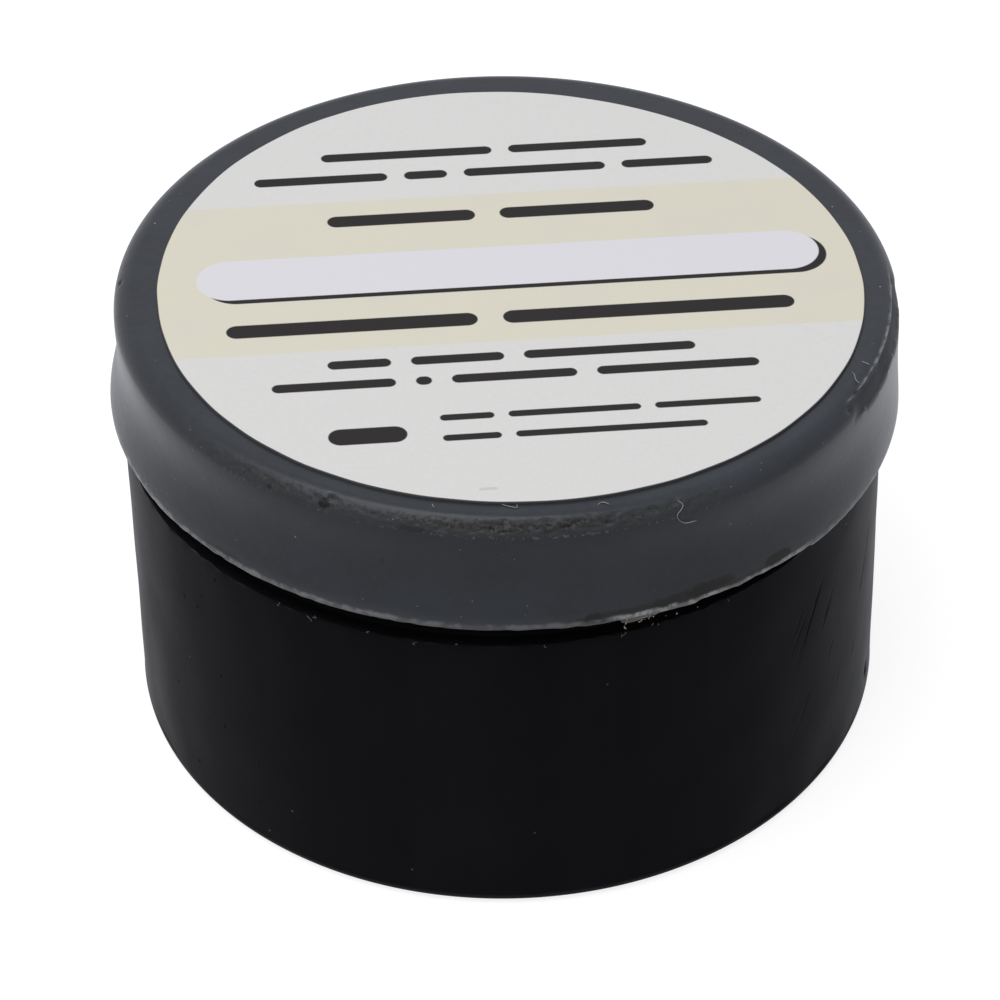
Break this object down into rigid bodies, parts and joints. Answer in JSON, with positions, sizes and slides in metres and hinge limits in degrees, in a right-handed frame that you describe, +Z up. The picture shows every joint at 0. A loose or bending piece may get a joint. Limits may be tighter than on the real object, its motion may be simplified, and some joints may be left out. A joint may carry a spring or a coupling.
{
  "type": "rosin jar",
  "caption": "Small round plastic jar filled with cast soldering rosin, with an inset neck, a loose push-on lid that sits askew and a plain paper label on the lid",
  "frame": {"origin": "middle of the standing ring's underside, on the table", "axes": "+Z up along the jar's axis, -Y to the front, +X to the right"},
  "size_m": [0.0416, 0.0415, 0.026],
  "materials": {
    "jar_plastic": "black polyethylene, satin, with fine scratches",
    "lid_plastic": "dark blue-grey soft polyethylene, worn and stained at its edges",
    "rosin": "amber cast rosin, glassy",
    "label_paper": "uncoated white paper with a pale cream band"
  },
  "bodies": {
    "jar": {"jar_body": "jar_plastic", "rosin_cake": "rosin", "rosin_run": "rosin"},
    "lid": {"lid": "lid_plastic", "paper_label": "label_paper"}
  },
  "joints": [
    {"name": "lid_lift", "type": "slide", "parent": "jar", "child": "lid", "axis": [0.0202, 0.0289, 0.9994], "range_m": [0, 0.03]}
  ]
}
